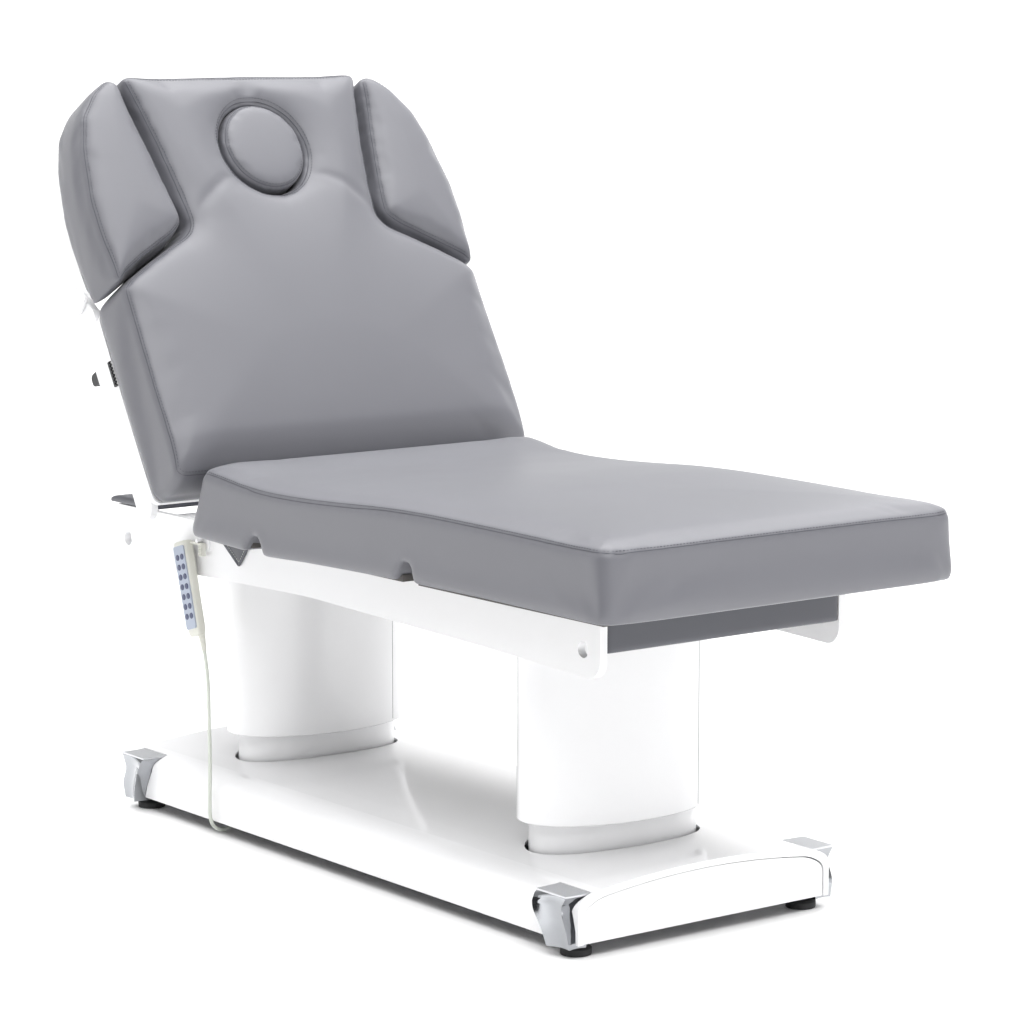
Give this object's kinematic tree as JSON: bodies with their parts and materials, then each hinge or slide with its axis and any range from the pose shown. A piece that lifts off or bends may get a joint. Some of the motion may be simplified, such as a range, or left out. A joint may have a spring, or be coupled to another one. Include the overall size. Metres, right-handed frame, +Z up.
{
  "type": "facial treatment bed",
  "caption": "Padded treatment bed with a raised backrest, folding side wings, a face hole with a plug, a lifting column base and a corded handset.",
  "frame": {"origin": "centre of the box's footprint at floor level", "axes": "+Y along the bed towards the head end, +X across the bed, +Z up"},
  "size_m": [0.833, 1.6964, 1.4087],
  "materials": {
    "upholstery": "satin leatherette",
    "upholstery_dark": "satin leatherette",
    "white_steel": "gloss white",
    "white_cover": "gloss white",
    "bright_metal": "polished",
    "brushed_metal": "brushed",
    "bare_steel": "machined",
    "black_plastic": "matt",
    "black_rubber": "matt",
    "handset_plastic": "satin",
    "handset_membrane": "satin",
    "cord_plastic": "satin",
    "board": "sealed plywood"
  },
  "bodies": {
    "base": {"base_cover": "white_cover", "base_end_panel_foot": "white_cover", "base_end_panel_head": "white_cover", "corner_guards": "bright_metal", "guard_top_plates": "brushed_metal", "levelling_pads": "black_rubber", "levelling_studs": "bare_steel", "base_chassis": "bare_steel", "inner_columns": "white_steel", "lift_motor_screws": "bare_steel", "control_box": "black_plastic", "mains_inlet": "black_plastic", "cord_gland": "black_rubber", "handset_cord": "cord_plastic"},
    "frame": {"side_rail_left": "white_steel", "side_rail_right": "white_steel", "hinge_lugs": "white_steel", "cross_tubes": "white_steel", "column_shroud_foot": "white_cover", "column_shroud_head": "white_cover", "column_wipers": "black_rubber", "column_plates": "white_steel", "lift_nut_tubes": "bare_steel", "seat_board": "board", "seat_cushion": "upholstery", "foot_apron": "upholstery_dark", "tail_pad": "upholstery_dark", "corner_flap": "upholstery_dark", "actuator_housing": "black_plastic", "actuator_motor": "black_plastic", "handset_body": "handset_plastic", "handset_keypad": "handset_membrane", "handset_hook": "white_steel", "handset_clip": "handset_plastic", "handset_strain_relief": "handset_plastic"},
    "backrest": {"back_cushion": "upholstery", "back_board": "white_steel", "back_hinge_tube": "white_steel", "actuator_horn": "bare_steel", "back_arm_left": "white_steel", "back_arm_right": "white_steel", "arm_caps": "white_cover", "arm_racks": "black_plastic", "lever_brackets": "white_steel"},
    "wing_left": {"wing_cushion_left": "upholstery", "wing_board_left": "white_steel", "wing_plate_left": "white_steel", "wing_pivot_left": "white_cover"},
    "wing_right": {"wing_cushion_right": "upholstery", "wing_board_right": "white_steel", "wing_plate_right": "white_steel", "wing_pivot_right": "white_cover"},
    "face_plug": {"face_plug": "upholstery"},
    "lever_left": {"release_lever_left": "black_plastic"},
    "lever_right": {"release_lever_right": "black_plastic"},
    "actuator_rod": {"actuator_rod": "bare_steel", "actuator_pin": "bare_steel"}
  },
  "joints": [
    {"name": "column_lift", "type": "slide", "parent": "base", "child": "frame", "axis": [0, 0, 1], "range_m": [-0.034, 0.2], "deforming": ["handset_cord"]},
    {"name": "backrest_recline", "type": "hinge", "parent": "frame", "child": "backrest", "pos_m": [0, 0.41475, 0.615], "axis": [1, 0, 0], "range_deg": [-60, 5]},
    {"name": "wing_fold_left", "type": "hinge", "parent": "backrest", "child": "wing_left", "pos_m": [-0.398, 0.69198, 0.97918], "axis": [1, 0, 0], "range_deg": [-75, 0]},
    {"name": "wing_fold_right", "type": "hinge", "parent": "backrest", "child": "wing_right", "pos_m": [0.398, 0.69198, 0.97918], "axis": [1, 0, 0], "range_deg": [-75, 0]},
    {"name": "face_plug_out", "type": "slide", "parent": "backrest", "child": "face_plug", "axis": [0, -0.866, 0.5], "range_m": [0, 0.2]},
    {"name": "lever_pull_left", "type": "hinge", "parent": "backrest", "child": "lever_left", "pos_m": [-0.398, 0.61879, 0.8644], "axis": [1, 0, 0], "range_deg": [-18, 18], "stiffness_Nm_per_rad": 0.6},
    {"name": "lever_pull_right", "type": "hinge", "parent": "backrest", "child": "lever_right", "pos_m": [0.398, 0.61879, 0.8644], "axis": [1, 0, 0], "range_deg": [-18, 18], "stiffness_Nm_per_rad": 0.6},
    {"name": "actuator_stroke", "type": "slide", "parent": "frame", "child": "actuator_rod", "axis": [0, 1, 0], "range_m": [-0.0815, 0.0075]}
  ],
  "couplings": [
    {"joint": "actuator_stroke", "follows": "backrest_recline", "m_per_rad": 0.077186}
  ]
}
